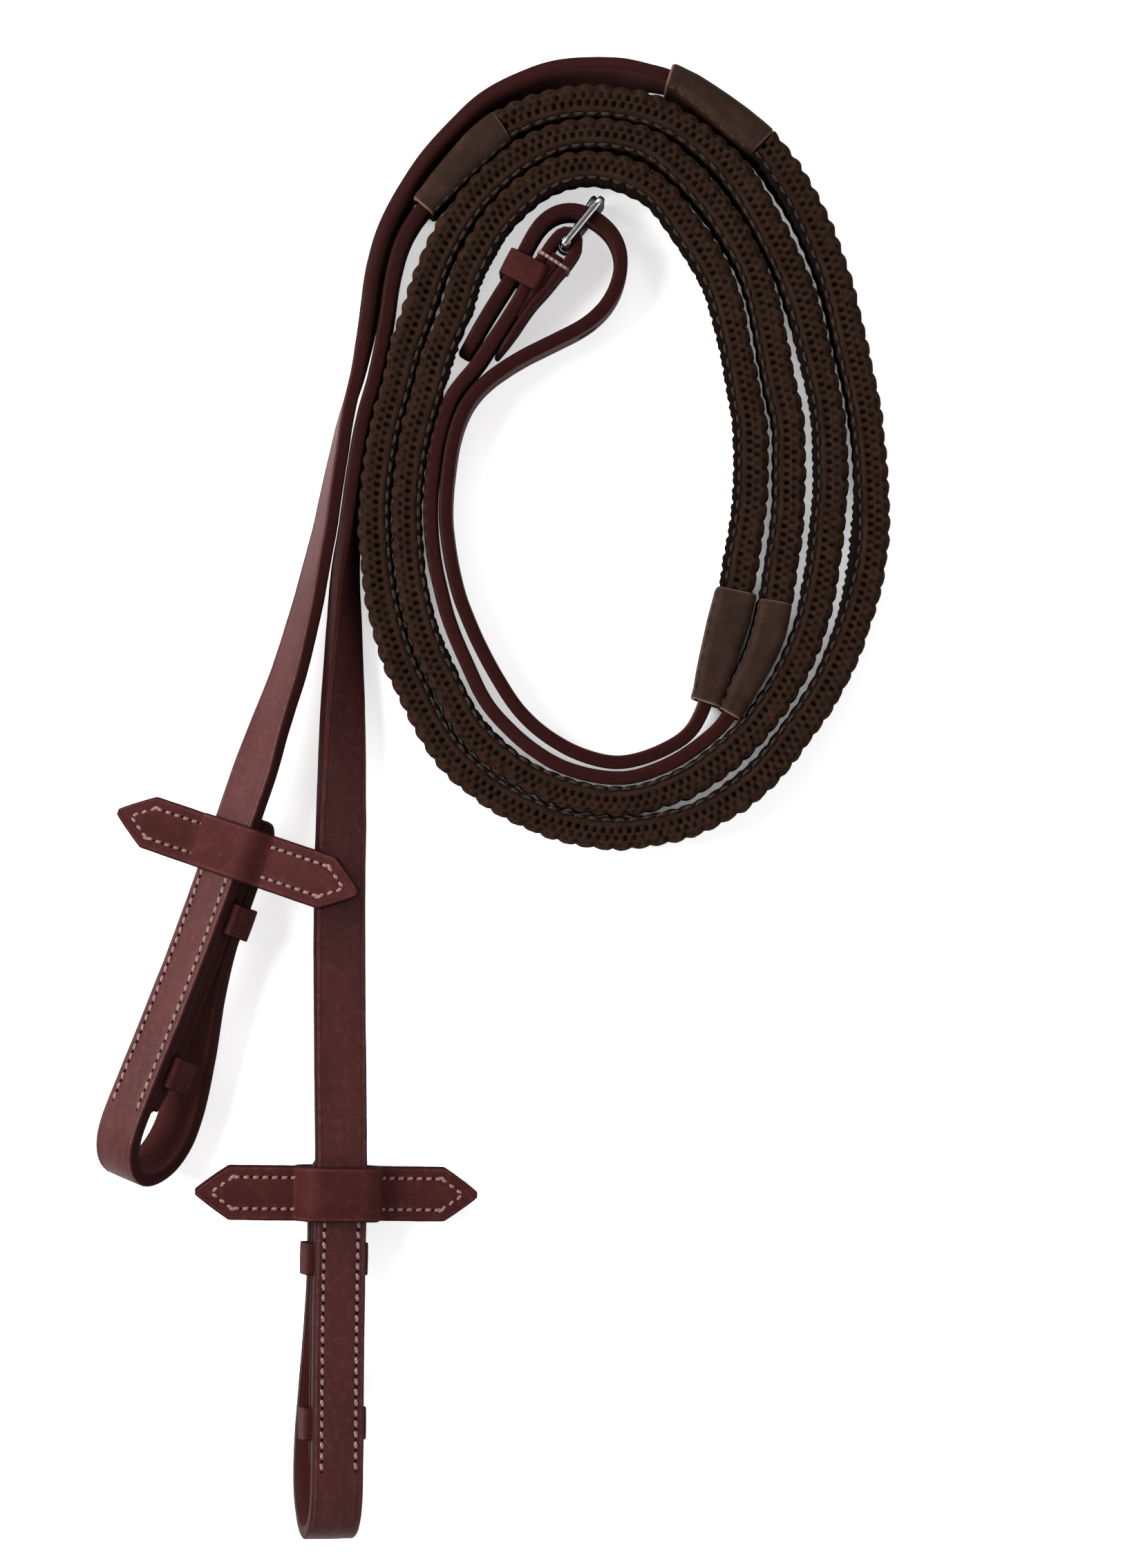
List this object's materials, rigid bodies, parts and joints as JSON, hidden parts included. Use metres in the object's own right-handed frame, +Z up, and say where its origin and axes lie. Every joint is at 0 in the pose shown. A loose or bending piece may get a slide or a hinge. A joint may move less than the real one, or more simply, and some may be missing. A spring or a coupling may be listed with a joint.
{
  "type": "leather reins",
  "caption": "Pair of leather riding reins with rubber hand grips, stud bit ends, martingale stops and a centre buckle, coiled on a flat surface.",
  "frame": {"origin": "centre of the whole lay-out's rectangle on the surface the reins rest on", "axes": "+Z up from the resting surface; +Y from the bit ends towards the coil; +X to the right seen from above with the bit ends nearest"},
  "size_m": [0.2432, 0.4572, 0.0341],
  "materials": {
    "bridle_leather": "waxed burgundy-brown bridle leather, burnished edges",
    "grip_rubber": "matt dark brown pimpled rubber",
    "sleeve_leather": "smooth dark brown leather, semi-matt",
    "backing_leather": "waxed leather, darker cut edges",
    "keeper_leather": "thin waxed leather band",
    "stop_leather": "waxed leather, stitched round both points",
    "stud_metal": "stainless steel",
    "buckle_metal": "polished stainless steel"
  },
  "bodies": {
    "reins": {"left_rein_strap": "bridle_leather", "right_rein_strap": "bridle_leather", "left_grip": "grip_rubber", "right_grip": "grip_rubber", "left_sleeve_bit_end": "sleeve_leather", "left_sleeve_buckle_end": "sleeve_leather", "right_sleeve_bit_end": "sleeve_leather", "right_sleeve_buckle_end": "sleeve_leather", "left_bit_backing": "backing_leather", "right_bit_backing": "backing_leather", "left_bit_upper_keeper": "keeper_leather", "left_bit_lower_keeper": "keeper_leather", "right_bit_upper_keeper": "keeper_leather", "right_bit_lower_keeper": "keeper_leather", "buckle_keeper": "keeper_leather", "left_hook_stud": "stud_metal", "right_hook_stud": "stud_metal"},
    "left_stop": {"left_stop_front": "stop_leather", "left_stop_back": "stop_leather"},
    "right_stop": {"right_stop_front": "stop_leather", "right_stop_back": "stop_leather"},
    "buckle": {"buckle_frame": "buckle_metal"},
    "tongue": {"buckle_tongue": "buckle_metal"}
  },
  "joints": [
    {"name": "left_stop_slide", "type": "slide", "parent": "reins", "child": "left_stop", "axis": [0.324, 0.945, -0.0436], "range_m": [0, 0.025]},
    {"name": "right_stop_slide", "type": "slide", "parent": "reins", "child": "right_stop", "axis": [0.023, 0.9988, -0.0436], "range_m": [0, 0.035]},
    {"name": "buckle_turn", "type": "hinge", "parent": "reins", "child": "buckle", "pos_m": [0.02292, 0.17134, 0.011], "axis": [0, 0, 1], "range_deg": [-4, 6]},
    {"name": "tongue_turn", "type": "hinge", "parent": "buckle", "child": "tongue", "pos_m": [0.02292, 0.17134, 0.011], "axis": [0, 0, 1], "range_deg": [0, 6]}
  ]
}
